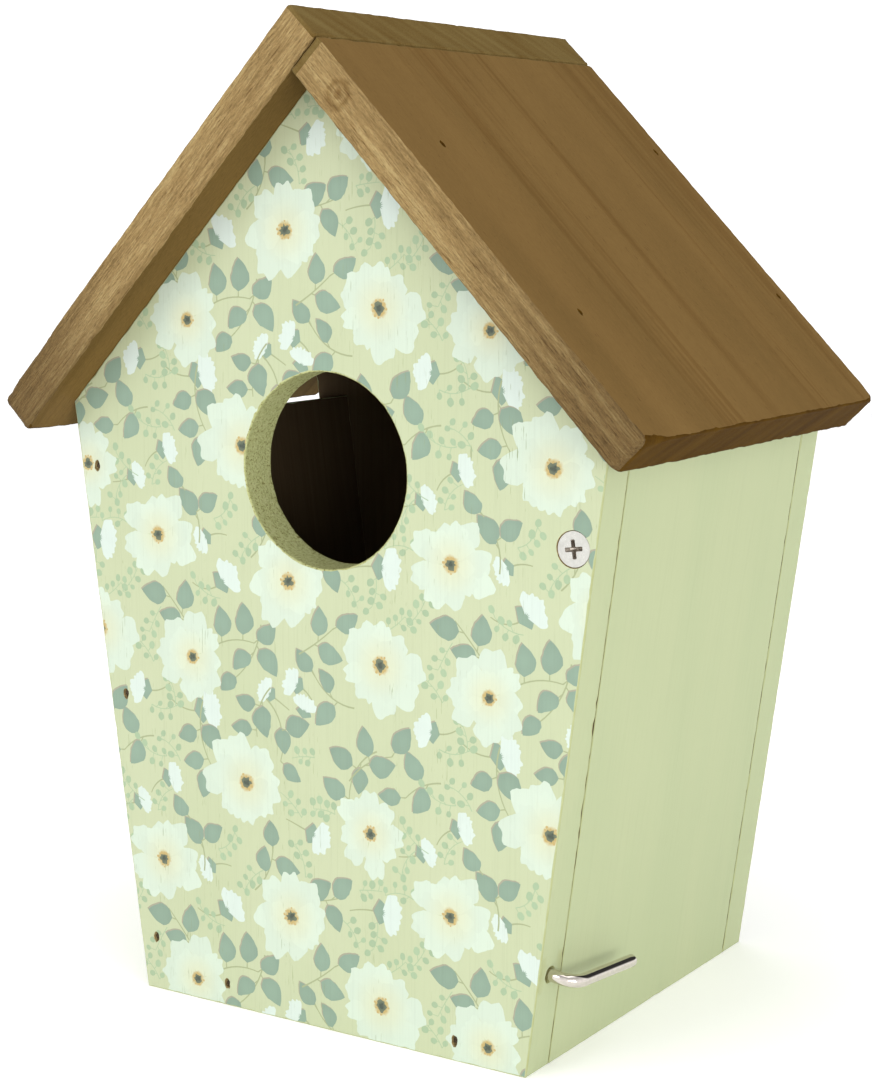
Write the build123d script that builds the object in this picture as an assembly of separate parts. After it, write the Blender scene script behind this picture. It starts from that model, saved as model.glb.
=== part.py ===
from build123d import *
import math
import os

# A small wooden birdhouse: a tapered box under a steep roof, with a side door that swings out for cleaning.
# Millimetres. The origin is the centre of the underside, +Z is up, the front with the entrance faces -Y,
# and +X is to the right as seen from the front.

# Driving dimensions of the boards
board_thickness = 10.0
bottom_width = 110.0
eave_width = 150.0
eave_height = 146.0
body_depth = 111.0
side_board_length = 140.7
roof_pitch = 45.75
roof_front_overhang = 11.0
right_roof_length = 117.1
door_gap = 0.4
floor_to_door_gap = 0.6

# Entrance
entrance_x = 0.5
entrance_z = 133.6
entrance_radius = 22.7

# Pivot screws of the door
pivot_x = 66.0
pivot_z = 121.0
pivot_head_radius = 4.0
pivot_shank_radius = 2.0
pivot_length = 30.0
pivot_head_sink = 0.2
pivot_clearance = 0.07
countersink_clearance = 0.25

# Latch hook
latch_height = 23.7
latch_wire_radius = 1.5
latch_shank_depth = 18.0
latch_standoff = 6.4
latch_arm_length = 28.0
latch_bend_radius = 4.0
latch_droop = 6.0
latch_clearance = 0.06
latch_mouth_radius = 2.3
latch_mouth_depth = 1.2

# Brads and roof nails
brad_radius = 0.65
brad_length = 22.0
brad_sink = 0.6
side_brads = [(-68.0, 130.5), (-60.3, 74.3), (-52.0, 13.3)]
floor_brads = [(-29.7, 5.5), (36.1, 4.8)]
roof_nail_radius = 0.75
roof_nail_length = 25.0
roof_nail_sink = 0.5
roof_nail_distances = [32.0, 82.0]

# Hanger plate on the back
hanger_z = 186.5
hanger_width = 50.0
hanger_height = 24.0
hanger_thickness = 1.2
keyhole_drop = 3.5
keyhole_radius = 4.5
keyhole_slot_radius = 2.3
keyhole_slot_rise = 6.5
nail_pocket_radius = 6.0
nail_pocket_depth = 6.0
hanger_screw_spacing = 36.0
hanger_screw_head_radius = 2.8
hanger_screw_shank_radius = 1.5
hanger_screw_length = 8.8

# Rim and cross recess of the screws
screw_rim = 0.3
recess_share = 0.62
recess_width_share = 0.2
recess_depth_share = 0.3
pivot_recess_turn = 8.0

# Worked out from the dimensions above
pitch = math.radians(roof_pitch)
front_y = -body_depth / 2
back_y = body_depth / 2
panel_back_y = front_y + board_thickness
panel_front_y = back_y - board_thickness
front_middle_y = front_y + board_thickness / 2
back_middle_y = back_y - board_thickness / 2
apex_z = eave_height + eave_width / 2 * math.tan(pitch)
taper = math.atan((eave_width - bottom_width) / 2 / eave_height)


def along_side(distance, inset=0.0):
    """Point (x, z) on the right side: distance up the outer face from the base, inset into the board."""
    x = bottom_width / 2 + distance * math.sin(taper) - inset * math.cos(taper)
    z = distance * math.cos(taper) + inset * math.sin(taper)
    return (x, z)


def down_roof(distance, rise=0.0):
    """Point (x, z) on the right roof slope: distance down from the apex, rise above the underside."""
    x = distance * math.cos(pitch) + rise * math.sin(pitch)
    z = apex_z - distance * math.sin(pitch) + rise * math.cos(pitch)
    return (x, z)


def mirrored(points):
    return [(-x, z) for x, z in points]


def board(points, from_y, to_y):
    """A board with the outline given as (x, z) points, between two depths."""
    outline_plane = Plane(origin=(0, to_y, 0), x_dir=(1, 0, 0), z_dir=(0, -1, 0))
    outline = make_face(Polyline(*points, close=True))
    return extrude(outline_plane * outline, amount=to_y - from_y)


def driven(surface_point, outward, radius, start_depth, end_depth):
    """A straight round pin or hole, from start_depth to end_depth below a surface."""
    depth = end_depth - start_depth
    pin = Pos(0, 0, -start_depth) * Cylinder(radius, depth, align=(Align.CENTER, Align.CENTER, Align.MAX))
    return Plane(origin=surface_point, z_dir=outward).location * pin


def screw_form(head_radius, shank_radius, length, top=0.0):
    """A countersunk screw's outer form, pointing down -Z: a short rim, a cone and the shank."""
    cone_end = screw_rim + head_radius - shank_radius
    profile = Polyline(
        (0, top),
        (head_radius, top),
        (head_radius, -screw_rim),
        (shank_radius, -cone_end),
        (shank_radius, -length),
        (0, -length),
        close=True,
    )
    return revolve(Plane.XZ * make_face(profile), axis=Axis.Z)


def cross_recess(head_radius, turn):
    arm = 2 * head_radius * recess_share
    width = 2 * head_radius * recess_width_share
    depth = 2 * head_radius * recess_depth_share
    across = Box(arm, width, depth)
    return Rot(0, 0, turn) * (across + Rot(0, 0, 90) * across)


def screw(head_radius, shank_radius, length, turn):
    return screw_form(head_radius, shank_radius, length) - cross_recess(head_radius, turn)


# Where the screws, nails and hook sit
front_pivot_seat = Plane(origin=(pivot_x, front_y + pivot_head_sink, pivot_z), x_dir=(1, 0, 0), z_dir=(0, -1, 0))
back_pivot_seat = Plane(origin=(pivot_x, back_y - pivot_head_sink, pivot_z), x_dir=(-1, 0, 0), z_dir=(0, 1, 0))
pivot_hole = screw_form(
    pivot_head_radius + countersink_clearance,
    pivot_shank_radius + pivot_clearance,
    board_thickness + 1.0,
    1.0,
)

latch_point = along_side(latch_height)
latch_axis = Vector(math.cos(taper), 0, -math.sin(taper))
up_side = Vector(math.sin(taper), 0, math.cos(taper))
latch_entry = Vector(latch_point[0], front_middle_y, latch_point[1])
droop = math.radians(latch_droop)
arm_direction = Vector(0, 1, 0) * math.cos(droop) - up_side * math.sin(droop)


def brads_and_holes(places, face_y, outward_y):
    """Brads driven square to a panel's face at (x, z) places, and the holes that they make."""
    outward = (0, outward_y, 0)
    end = brad_sink + brad_length
    brads = [driven((x, face_y, z), outward, brad_radius, brad_sink, end) for x, z in places]
    holes = [driven((x, face_y, z), outward, brad_radius, 0.0, end) for x, z in places]
    return brads, holes


def roof_nails_and_holes(side):
    """Nails through one roof board into the edges of both panels; side is +1 right, -1 left."""
    outward = (side * math.sin(pitch), 0, math.cos(pitch))
    end = roof_nail_sink + roof_nail_length
    nails = []
    holes = []
    for y in (front_middle_y, back_middle_y):
        for distance in roof_nail_distances:
            x, z = down_roof(distance, board_thickness)
            point = (side * x, y, z)
            nails.append(driven(point, outward, roof_nail_radius, roof_nail_sink, end))
            holes.append(driven(point, outward, roof_nail_radius, 0.0, end))
    return nails, holes


front_brads, front_brad_holes = brads_and_holes(side_brads + floor_brads, front_y, -1)
back_brads, back_brad_holes = brads_and_holes(side_brads + floor_brads, back_y, 1)
right_nails, right_nail_holes = roof_nails_and_holes(1)
left_nails, left_nail_holes = roof_nails_and_holes(-1)


gable = [
    (-bottom_width / 2, 0),
    (bottom_width / 2, 0),
    (eave_width / 2, eave_height),
    (0, apex_z),
    (-eave_width / 2, eave_height),
]


def front_panel():
    panel = board(gable, front_y, panel_back_y)
    entrance = Plane(origin=(entrance_x, front_middle_y, entrance_z), z_dir=(0, -1, 0)).location
    panel -= entrance * Cylinder(entrance_radius, 2 * board_thickness)
    panel -= front_pivot_seat.location * pivot_hole
    shank_hole_radius = latch_wire_radius + latch_clearance
    shank_hole_depth = latch_shank_depth + 0.5
    panel -= driven(latch_entry, latch_axis, shank_hole_radius, 0.0, shank_hole_depth)
    panel -= driven(latch_entry, latch_axis, latch_mouth_radius, 0.0, latch_mouth_depth)
    for hole in front_brad_holes + right_nail_holes + left_nail_holes:
        panel -= hole
    return panel


hanger_seat = Plane(origin=(0, back_y, hanger_z), x_dir=(-1, 0, 0), z_dir=(0, 1, 0))
hanger_screw_places = [(-hanger_screw_spacing / 2, 0), (hanger_screw_spacing / 2, 0)]


def hanger_outline():
    return SlotOverall(hanger_width, hanger_height)


def slot_upwards(radius):
    """A round-ended slot that rises from the origin by the keyhole's slot rise."""
    straight = Pos(0, keyhole_slot_rise / 2) * Rectangle(2 * radius, keyhole_slot_rise)
    return Circle(radius) + straight + Pos(0, keyhole_slot_rise) * Circle(radius)


def hanger_plate():
    keyhole = Pos(0, -keyhole_drop) * (Circle(keyhole_radius) + slot_upwards(keyhole_slot_radius))
    plate = extrude(hanger_outline() - keyhole, amount=-hanger_thickness)
    for x, z in hanger_screw_places:
        plate -= Pos(x, z, 0) * screw_form(hanger_screw_head_radius, hanger_screw_shank_radius, 3.0)
    return hanger_seat.location * plate


def hanger_screws():
    one = screw(hanger_screw_head_radius, hanger_screw_shank_radius, hanger_screw_length, 0.0)
    return [hanger_seat.location * Pos(x, z, 0) * one for x, z in hanger_screw_places]


def back_panel():
    panel = board(gable, panel_front_y, back_y)
    panel -= back_pivot_seat.location * pivot_hole
    panel -= hanger_seat.location * extrude(hanger_outline(), amount=-hanger_thickness)
    pocket = Pos(0, -keyhole_drop) * slot_upwards(nail_pocket_radius)
    panel -= hanger_seat.location * extrude(pocket, amount=-nail_pocket_depth)
    for x, z in hanger_screw_places:
        form = screw_form(hanger_screw_head_radius, hanger_screw_shank_radius, hanger_screw_length)
        panel -= hanger_seat.location * Pos(x, z, 0) * form
    for hole in back_brad_holes + right_nail_holes + left_nail_holes:
        panel -= hole
    return panel


def side_board_outline():
    return [
        along_side(0),
        along_side(side_board_length),
        along_side(side_board_length, board_thickness),
        along_side(0, board_thickness),
    ]


def left_side_panel():
    panel = board(mirrored(side_board_outline()), panel_back_y, panel_front_y)
    for hole in front_brad_holes + back_brad_holes:
        panel -= hole
    return panel


def side_door():
    door = board(side_board_outline(), panel_back_y + door_gap, panel_front_y - door_gap)
    for seat in (front_pivot_seat, back_pivot_seat):
        door -= seat.location * screw_form(pivot_head_radius, pivot_shank_radius, pivot_length)
    return door


def floor_board():
    inner_bottom = bottom_width / 2 - board_thickness / math.cos(taper)
    widening = board_thickness * math.tan(taper)
    outline = [
        (-inner_bottom, 0),
        (inner_bottom - floor_to_door_gap, 0),
        (inner_bottom + widening - floor_to_door_gap, board_thickness),
        (-inner_bottom - widening, board_thickness),
    ]
    floor = board(outline, panel_back_y, panel_front_y)
    for hole in front_brad_holes + back_brad_holes:
        floor -= hole
    return floor


ridge_lap = board_thickness / math.sin(2 * pitch)
roof_front_y = front_y - roof_front_overhang


def roof_board_right():
    """The right board's upper end is cut to lie flat under the left board."""
    outline = [
        (0, apex_z),
        (ridge_lap * math.cos(pitch), apex_z + ridge_lap * math.sin(pitch)),
        down_roof(right_roof_length, board_thickness),
        down_roof(right_roof_length),
    ]
    roof = board(outline, roof_front_y, back_y)
    for hole in right_nail_holes:
        roof -= hole
    return roof


def roof_board_left():
    """The left board runs on past the apex and covers the right board's end."""
    outline = [
        down_roof(-ridge_lap),
        down_roof(-ridge_lap, board_thickness),
        down_roof(right_roof_length, board_thickness),
        down_roof(right_roof_length),
    ]
    roof = board(mirrored(outline), roof_front_y, back_y)
    for hole in left_nail_holes:
        roof -= hole
    return roof


def latch_hook():
    corner = latch_entry + latch_axis * latch_standoff
    start = latch_entry - latch_axis * latch_shank_depth
    end = corner + arm_direction * latch_arm_length
    path = FilletPolyline(start, corner, end, radius=latch_bend_radius)
    section = Plane(origin=start, z_dir=latch_axis) * Circle(latch_wire_radius)
    return sweep(section, path=path)


pivot_screw = screw(pivot_head_radius, pivot_shank_radius, pivot_length, pivot_recess_turn)

parts = {
    "front_panel": front_panel(),
    "back_panel": back_panel(),
    "left_side_panel": left_side_panel(),
    "side_door": side_door(),
    "floor_board": floor_board(),
    "roof_board_left": roof_board_left(),
    "roof_board_right": roof_board_right(),
    "pivot_screw_front": front_pivot_seat.location * pivot_screw,
    "pivot_screw_back": back_pivot_seat.location * pivot_screw,
    "latch_hook": latch_hook(),
    "hanger_plate": hanger_plate(),
    "hanger_screws": Compound(children=hanger_screws()),
    "front_panel_brads": Compound(children=front_brads),
    "back_panel_brads": Compound(children=back_brads),
    "roof_nails_left": Compound(children=left_nails),
    "roof_nails_right": Compound(children=right_nails),
}

os.makedirs("parts", exist_ok=True)
for name, shape in parts.items():
    export_step(shape, f"parts/{name}.step")
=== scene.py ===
import math
import random
import bpy
import numpy as np
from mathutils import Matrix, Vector, noise
from mathutils.geometry import delaunay_2d_cdt


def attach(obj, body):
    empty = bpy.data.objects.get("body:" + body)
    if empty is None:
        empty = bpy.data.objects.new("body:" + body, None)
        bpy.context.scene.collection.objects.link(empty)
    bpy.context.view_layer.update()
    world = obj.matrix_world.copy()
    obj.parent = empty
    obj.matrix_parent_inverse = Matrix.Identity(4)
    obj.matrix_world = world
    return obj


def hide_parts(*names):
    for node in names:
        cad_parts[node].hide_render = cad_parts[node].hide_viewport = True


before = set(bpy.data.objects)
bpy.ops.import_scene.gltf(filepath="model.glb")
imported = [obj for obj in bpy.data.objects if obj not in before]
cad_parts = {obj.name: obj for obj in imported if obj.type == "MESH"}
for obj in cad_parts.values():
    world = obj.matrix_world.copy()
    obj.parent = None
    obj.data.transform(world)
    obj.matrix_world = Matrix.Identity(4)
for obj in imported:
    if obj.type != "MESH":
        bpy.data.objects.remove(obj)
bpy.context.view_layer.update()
mm = 0.001
print("frame loaded:", len(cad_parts), "CAD nodes")

# The birdhouse in millimetres, as the CAD has it
house = dict(
    bottomWidth=110.0,
    eaveWidth=150.0,
    eaveHeight=146.0,
    depth=111.0,
    board=10.0,
    sideLength=140.7,
    pitch=45.75,
    frontOverhang=11.0,
    roofLength=117.1,
    doorGap=0.4,
    floorGap=0.6,
)
pitch = math.radians(house["pitch"])
taper = math.atan((house["eaveWidth"] - house["bottomWidth"]) / 2 / house["eaveHeight"])
apexZ = house["eaveHeight"] + house["eaveWidth"] / 2 * math.tan(pitch)
ridgeLap = house["board"] / math.sin(2 * pitch)
frontY, backY = -house["depth"] / 2, house["depth"] / 2
innerY = backY - house["board"]


# Materials


def toLinear(hexColour):
    values = [int(hexColour[i : i + 2], 16) / 255 for i in (1, 3, 5)]
    return [v / 12.92 if v <= 0.04045 else ((v + 0.055) / 1.055) ** 2.4 for v in values]


def addNode(tree, kind, settings=None, inputs=None, stops=(), take=0):
    # inputs are fixed values or other nodes' outputs, stops are a colour ramp's; gives the output named by take
    node = tree.nodes.new("ShaderNode" + kind)
    for key, value in (settings or {}).items():
        setattr(node, key, value)
    for key, value in (inputs or {}).items():
        socket = node.inputs[key]
        if isinstance(value, bpy.types.NodeSocket):
            tree.links.new(value, socket)
        else:
            socket.default_value = (*value, 1) if socket.type == "RGBA" else value
    for missing in stops[2:]:
        node.color_ramp.elements.new(0.5)
    for i, (place, colour) in enumerate(stops):
        element = node.color_ramp.elements[i]
        element.position = place
        element.color = (*colour, 1)
    return node.outputs[take]


def newMaterial(name, **shader):
    material = bpy.data.materials.new(name)
    material.use_nodes = True
    tree = material.node_tree
    surface = tree.nodes["Principled BSDF"]
    for key, value in shader.items():
        surface.inputs[key.replace("_", " ")].default_value = value
    return material, tree, surface


def grey(value):
    return (value, value, value)


def grainNoise(tree, along, across, detail=4.0, shift=0.0, rough=0.55, deep=None, turn=0.0):
    # noise with features of the given size in millimetres along the grain, across it, and into the board
    place = addNode(tree, "Attribute", {"attribute_name": "grain"}, take="Vector")
    if turn:
        place = addNode(tree, "Mapping", inputs={"Vector": place, "Rotation": (turn, 0, 0)})
    scale = (1 / along, 1 / across, 1 / (deep or across))
    start = (shift, shift * 1.7, shift * 0.6)
    place = addNode(tree, "Mapping", inputs={"Vector": place, "Location": start, "Scale": scale})
    inputs = {"Vector": place, "Scale": 1.0, "Detail": detail, "Roughness": rough}
    return addNode(tree, "TexNoise", inputs=inputs)


def weighed(tree, *parts):
    # patterns added up in the given shares
    total = 0.0
    for pattern, share in parts:
        total = addNode(tree, "Math", {"operation": "MULTIPLY_ADD"}, {0: pattern, 1: share, 2: total})
    return total


def dress(tree, surface, base, *layers):
    # the colour, and shallow relief of one pattern over another, each with its depth in millimetres and strength
    tree.links.new(base, surface.inputs["Base Color"])
    normal = None
    for pattern, depth, strength in layers:
        inputs = {"Height": pattern, "Distance": depth * mm, "Strength": strength}
        if normal is not None:
            inputs["Normal"] = normal
        normal = addNode(tree, "Bump", inputs=inputs)
        tree.links.new(normal, surface.inputs["Normal"])


blend = {"data_type": "RGBA", "blend_type": "MIX"}
multiply = {"data_type": "RGBA", "blend_type": "MULTIPLY"}
times = {"operation": "MULTIPLY"}
wear = {"attribute_name": "wear"}

# Paulownia, sprayed matt: the open grain still shows as fine upright lines through the thin paint
paint = dict(
    colour="#a9b18a",
    shade="#a6af88",
    worn="#989a64",
    poreLong=26.0,
    poreWide=0.7,
    cloud=45.0,
)


def paintedWood():
    material, tree, surface = newMaterial("sprayedPaulownia", Roughness=0.62, Specular_IOR_Level=0.35)
    cloud = grainNoise(tree, paint["cloud"] * 2, paint["cloud"] / 2, 2.0, 3.0)
    stops = [(0.38, toLinear(paint["shade"])), (0.6, toLinear(paint["colour"]))]
    base = addNode(tree, "ValToRGB", inputs={"Fac": cloud}, stops=stops)
    pores = grainNoise(tree, paint["poreLong"], paint["poreWide"], 3.0)
    streaks = addNode(tree, "ValToRGB", inputs={"Fac": pores}, stops=[(0.3, grey(0.97)), (0.5, grey(1.0))])
    base = addNode(tree, "Mix", multiply, {0: 1.0, 6: base, 7: streaks}, take=2)
    # rubbed thin along the arrises
    ragged = addNode(tree, "Math", times, {0: grainNoise(tree, 3.0, 1.2, 4.0, 9.0), 1: 1.1})
    rubbed = addNode(tree, "Math", times, {0: addNode(tree, "Attribute", wear, take="Fac"), 1: ragged})
    base = addNode(tree, "Mix", blend, {0: rubbed, 6: base, 7: toLinear(paint["worn"])}, take=2)
    dress(tree, surface, base, (pores, 0.06, 0.5))
    return material


# The same sprayed board with a flower pattern printed flat on it, a little smoother than the paint
def printedWood():
    material, tree, surface = newMaterial("printedPaulownia", Roughness=0.55, Specular_IOR_Level=0.35)
    ink = addNode(tree, "Attribute", {"attribute_name": "ink"}, take="Color")
    pores = grainNoise(tree, 22.0, 0.4, 3.0)
    streaks = addNode(tree, "ValToRGB", inputs={"Fac": pores}, stops=[(0.3, grey(0.955)), (0.48, grey(1.0))])
    base = addNode(tree, "Mix", multiply, {0: 1.0, 6: ink, 7: streaks}, take=2)
    # short open pores, dark where the spray bridged them, crowded into a few bands of the growth
    short, growth = grainNoise(tree, 5.0, 0.3, 2.0, 21.0), grainNoise(tree, 150.0, 5.0, 1.0, 31.0)
    flecks = addNode(tree, "ValToRGB", inputs={"Fac": short}, stops=[(0.3, grey(1.0)), (0.34, grey(0.0))])
    bands = addNode(tree, "ValToRGB", inputs={"Fac": growth}, stops=[(0.5, grey(0.08)), (0.66, grey(0.8))])
    shown = addNode(tree, "Math", times, {0: flecks, 1: bands})
    base = addNode(tree, "Mix", blend, {0: shown, 6: base, 7: toLinear("#7f8b62")}, take=2)
    dress(tree, surface, base, (pores, 0.1, 0.6))
    return material


# The inside and the hidden faces get a dark brown that is painted shade, so that the box reads dark inside through
# its openings
def shadedInsideWood():
    material, tree, surface = newMaterial("shadedInsidePaulownia", Roughness=0.8, Specular_IOR_Level=0.2)
    lines = grainNoise(tree, 40.0, 1.1, 5.0, 5.0)
    stops = [(0.3, toLinear("#57462f")), (0.7, toLinear("#605039"))]
    dress(tree, surface, addNode(tree, "ValToRGB", inputs={"Fac": lines}, stops=stops), (lines, 0.15, 0.8))
    return material


# The sawn wall of the entrance took only a dusting of paint, so torn brown fibres speckle it
def boredWood():
    material, tree, surface = newMaterial("boredPaulownia", Roughness=0.85, Specular_IOR_Level=0.2)
    place = addNode(tree, "Attribute", {"attribute_name": "grain"}, take="Vector")
    inputs = {"Vector": place, "Scale": 1.5, "Detail": 6.0, "Roughness": 0.75}
    fibres = addNode(tree, "TexNoise", inputs=inputs)
    stops = [(0.38, toLinear("#7a7440")), (0.46, toLinear("#aeb178")), (0.62, toLinear("#bec18d"))]
    dress(tree, surface, addNode(tree, "ValToRGB", inputs={"Fac": fibres}, stops=stops), (fibres, 0.5, 1.0))
    return material


# Wood torn open by a brad or a hook: raw brown with a burnt edge
def tornWood():
    material, tree, surface = newMaterial("tornPaulownia", Roughness=0.9, Specular_IOR_Level=0.2)
    lines = grainNoise(tree, 1.5, 0.3, 4.0, 2.0)
    stops = [(0.35, toLinear("#5c4a2c")), (0.65, toLinear("#a08c60"))]
    dress(tree, surface, addNode(tree, "ValToRGB", inputs={"Fac": lines}, stops=stops), (lines, 0.2, 0.8))
    return material


# Each stained surface from its darkest tone to its lightest
stain = dict(
    slope=("#654f2c", "#6e5631", "#765d36"),
    # the underside's tones are darker than the slope's: painted shade under the roof
    under=("#534020", "#654f2a", "#745b32"),
    edge=("#7d653e", "#967c50", "#af9868"),
    end=("#3b2604", "#50380c"),
    ridge=("#5b4621", "#6e5d37"),
    pore="#8a5a33",
    rubbed="#97794a",
    ringSlant=0.75,
)


# Paulownia with a thin brown stain: a soft broad figure, faint darker growth lines, and short rusty pores
def stainedWood(name, tones):
    material, tree, surface = newMaterial(name, Roughness=0.6, Specular_IOR_Level=0.03)
    figure = grainNoise(tree, 260.0, 14.0, 2.0, 1.0)
    mottle = grainNoise(tree, 45.0, 20.0, 2.0, 6.0)
    tooth = grainNoise(tree, 1.8, 0.4, 5.0, 4.0, 0.8)
    mixed = weighed(tree, (figure, 0.3), (mottle, 0.2), (tooth, 0.5))
    stops = list(zip((0.34, 0.5, 0.66), map(toLinear, tones)))
    base = addNode(tree, "ValToRGB", inputs={"Fac": mixed}, stops=stops)
    # the edges of the growth rings surface as a few long thin lines, and the pores along them as rusty flecks
    strips = grainNoise(tree, 500.0, 26.0, 1.0, 9.0)
    bands = addNode(tree, "ValToRGB", inputs={"Fac": strips}, stops=[(0.42, grey(0.05)), (0.58, grey(0.7))])
    growth = grainNoise(tree, 210.0, 3.6, 2.0, 12.0)
    stops = [(0.34, (0.72, 0.64, 0.54)), (0.4, (0.82, 0.76, 0.68)), (0.48, grey(1.0))]
    lines = addNode(tree, "ValToRGB", inputs={"Fac": growth}, stops=stops)
    base = addNode(tree, "Mix", multiply, {0: bands, 6: base, 7: lines}, take=2)
    stops = [(0.26, toLinear(stain["pore"])), (0.31, grey(1.0))]
    flecks = addNode(tree, "ValToRGB", inputs={"Fac": grainNoise(tree, 2.6, 0.4, 2.0, 8.0)}, stops=stops)
    base = addNode(tree, "Mix", multiply, {0: 0.5, 6: base, 7: flecks}, take=2)
    ragged = addNode(tree, "Math", times, {0: grainNoise(tree, 4.0, 2.0, 3.0, 3.0), 1: 0.9})
    rubbed = addNode(tree, "Math", times, {0: addNode(tree, "Attribute", wear, take="Fac"), 1: ragged})
    base = addNode(tree, "Mix", blend, {0: rubbed, 6: base, 7: toLinear(stain["rubbed"])}, take=2)
    dress(tree, surface, base, (tooth, 0.05, 0.5), (growth, 0.1, 0.3))
    return material


# The sawn long edges are fibrous: they take the stain lighter, but darker towards the eaves, with torn fibres
def sawnWood(name, tones):
    material, tree, surface = newMaterial(name, Roughness=0.75, Specular_IOR_Level=0.12)
    figure = grainNoise(tree, 70.0, 2.6, 3.0, 2.0)
    fibres = grainNoise(tree, 5.0, 0.36, 5.0, 4.0, 0.7)
    stops = list(zip((0.38, 0.5, 0.62), map(toLinear, tones)))
    mixed = weighed(tree, (figure, 0.4), (fibres, 0.6))
    base = addNode(tree, "ValToRGB", inputs={"Fac": mixed}, stops=stops)
    splits = grainNoise(tree, 7.0, 0.45, 3.0, 15.0, 0.6)
    stops = [(0.32, (0.42, 0.32, 0.22)), (0.38, grey(1.0))]
    torn = addNode(tree, "ValToRGB", inputs={"Fac": splits}, stops=stops)
    base = addNode(tree, "Mix", multiply, {0: 0.75, 6: base, 7: torn}, take=2)
    saw = grainNoise(tree, 1.1, 0.4, 3.0, 7.0, 0.7)
    marks = addNode(tree, "ValToRGB", inputs={"Fac": saw}, stops=[(0.36, grey(0.66)), (0.52, grey(1.0))])
    base = addNode(tree, "Mix", multiply, {0: 0.6, 6: base, 7: marks}, take=2)
    soaked = addNode(tree, "Attribute", {"attribute_name": "soaked"}, take="Fac")
    base = addNode(tree, "Mix", multiply, {0: soaked, 6: base, 7: (0.4, 0.36, 0.31)}, take=2)
    # rings round the knot, made uneven
    away = addNode(tree, "Attribute", {"attribute_name": "knot"}, take="Fac")
    wavy = weighed(tree, (away, 1.0), (grainNoise(tree, 2.2, 1.6, 3.0, 5.0), 0.22))
    stops = [(0.15, (0.6, 0.5, 0.38)), (0.24, grey(0.95)), (0.34, (0.62, 0.54, 0.42)), (0.44, grey(1.0))]
    knot = addNode(tree, "ValToRGB", inputs={"Fac": wavy}, stops=stops)
    base = addNode(tree, "Mix", multiply, {0: 0.85, 6: base, 7: knot}, take=2)
    dress(tree, surface, base, (fibres, 0.5, 1.0), (saw, 0.35, 0.9))
    return material


# End grain drinks the stain and goes darkest, with the growth rings as slanting soft bands
def endGrain(name, tones):
    material, tree, surface = newMaterial(name, Roughness=0.75, Specular_IOR_Level=0.04)
    rings = grainNoise(tree, 6.0, 3.4, 2.0, 2.0, 0.5, 30.0, stain["ringSlant"])
    dots = grainNoise(tree, 0.7, 0.45, 3.0, 5.0, 0.7)
    stops = list(zip((0.34, 0.64), map(toLinear, tones)))
    mixed = weighed(tree, (rings, 0.55), (dots, 0.45))
    base = addNode(tree, "ValToRGB", inputs={"Fac": mixed}, stops=stops)
    dress(tree, surface, base, (rings, 0.1, 0.6), (dots, 0.1, 0.7))
    return material


# Nickel or zinc plate on steel: bright, with a faint drawn or crystalline texture about a millimetre across
def plated(name, colour, roughness, scratch, metal=1.0):
    material, tree, surface = newMaterial(name, Metallic=metal, Roughness=roughness)
    place = addNode(tree, "TexCoord", take="Object")
    inputs = {"Vector": place, "Scale": 900.0, "Detail": 4.0, "Roughness": 0.6}
    specks = addNode(tree, "TexNoise", inputs=inputs)
    stops = [(0.3, [c * 0.86 for c in toLinear(colour)]), (0.6, toLinear(colour))]
    dress(tree, surface, addNode(tree, "ValToRGB", inputs={"Fac": specks}, stops=stops), (specks, 0.02, scratch))
    stops = [(0.3, grey(roughness * 1.5)), (0.65, grey(roughness * 0.8))]
    uneven = addNode(tree, "ValToRGB", inputs={"Fac": specks}, stops=stops)
    tree.links.new(uneven, surface.inputs["Roughness"])
    return material


# Cut brad heads gone dull brown in their holes
def dullSteel():
    material, tree, surface = newMaterial("dullSteel", Metallic=0.6, Roughness=0.6)
    place = addNode(tree, "TexCoord", take="Object")
    spots = addNode(tree, "TexNoise", inputs={"Vector": place, "Scale": 1500.0, "Detail": 3.0})
    stops = [(0.35, toLinear("#33261a")), (0.65, toLinear("#554838"))]
    dress(tree, surface, addNode(tree, "ValToRGB", inputs={"Fac": spots}, stops=stops))
    return material


printedPanel = printedWood()
torn = tornWood()
panelLooks = [paintedWood(), shadedInsideWood(), torn, boredWood()]
roofLooks = [
    stainedWood("stainedPaulownia", stain["slope"]),
    sawnWood("stainedSawnEdge", stain["edge"]),
    torn,
    endGrain("stainedEndGrain", stain["end"]),
    endGrain("stainedRidgeGrain", stain["ridge"]),
    stainedWood("shadedUnderside", stain["under"]),
]
nickelWire = plated("nickelPlatedWire", "#d6cec6", 0.09, 0.08)
nickelHead = plated("nickelPlatedScrew", "#cdccc6", 0.3, 0.12)
# a darker, rougher copy of the nickel for the cross recesses: painted shade
nickelShadedRecess = plated("nickelShadedInRecess", "#b3aba0", 0.5, 0.5)
zincPlate = plated("zincPlatedSheet", "#b0b4b7", 0.5, 0.3, 0.85)
bradSteel = dullSteel()
print("materials made")


# Boards


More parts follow.
